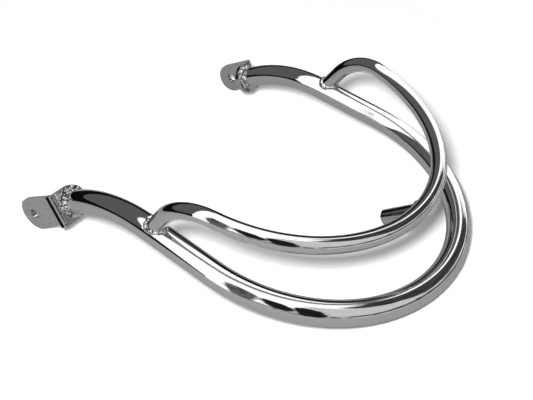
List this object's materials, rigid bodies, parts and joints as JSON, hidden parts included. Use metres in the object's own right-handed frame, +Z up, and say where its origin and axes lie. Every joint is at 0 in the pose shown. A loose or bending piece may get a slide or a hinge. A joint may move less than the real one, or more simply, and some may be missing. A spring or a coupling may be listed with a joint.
{
  "type": "front fender rail",
  "caption": "Chromed tube rail that hoops around a motorcycle's front fender: a slimmer hoop stands over the main one, with folded ears for bolts at the open end.",
  "frame": {"origin": "under the middle of the whole, on the floor that the rail rests on", "axes": "+X to the rider's right, +Y ahead to the closed nose of the hoop, +Z up, with the rail at rest on its nose and on the lower edges of its brackets"},
  "size_m": [0.272, 0.3175, 0.0881],
  "materials": {
    "rail": "bright chrome plate on polished steel tube",
    "stub": "bright chrome plate on steel bar",
    "bracket": "bright chrome plate on folded flat bar",
    "weld": "chrome plate over an unground weld bead"
  },
  "bodies": {
    "root": {"lower_rail": "rail", "upper_rail": "rail", "centre_stub": "stub", "right_bracket": "bracket", "left_bracket": "bracket", "right_bracket_weld": "weld", "left_bracket_weld": "weld", "right_joint_weld": "weld", "left_joint_weld": "weld", "stub_weld": "weld"}
  },
  "joints": []
}
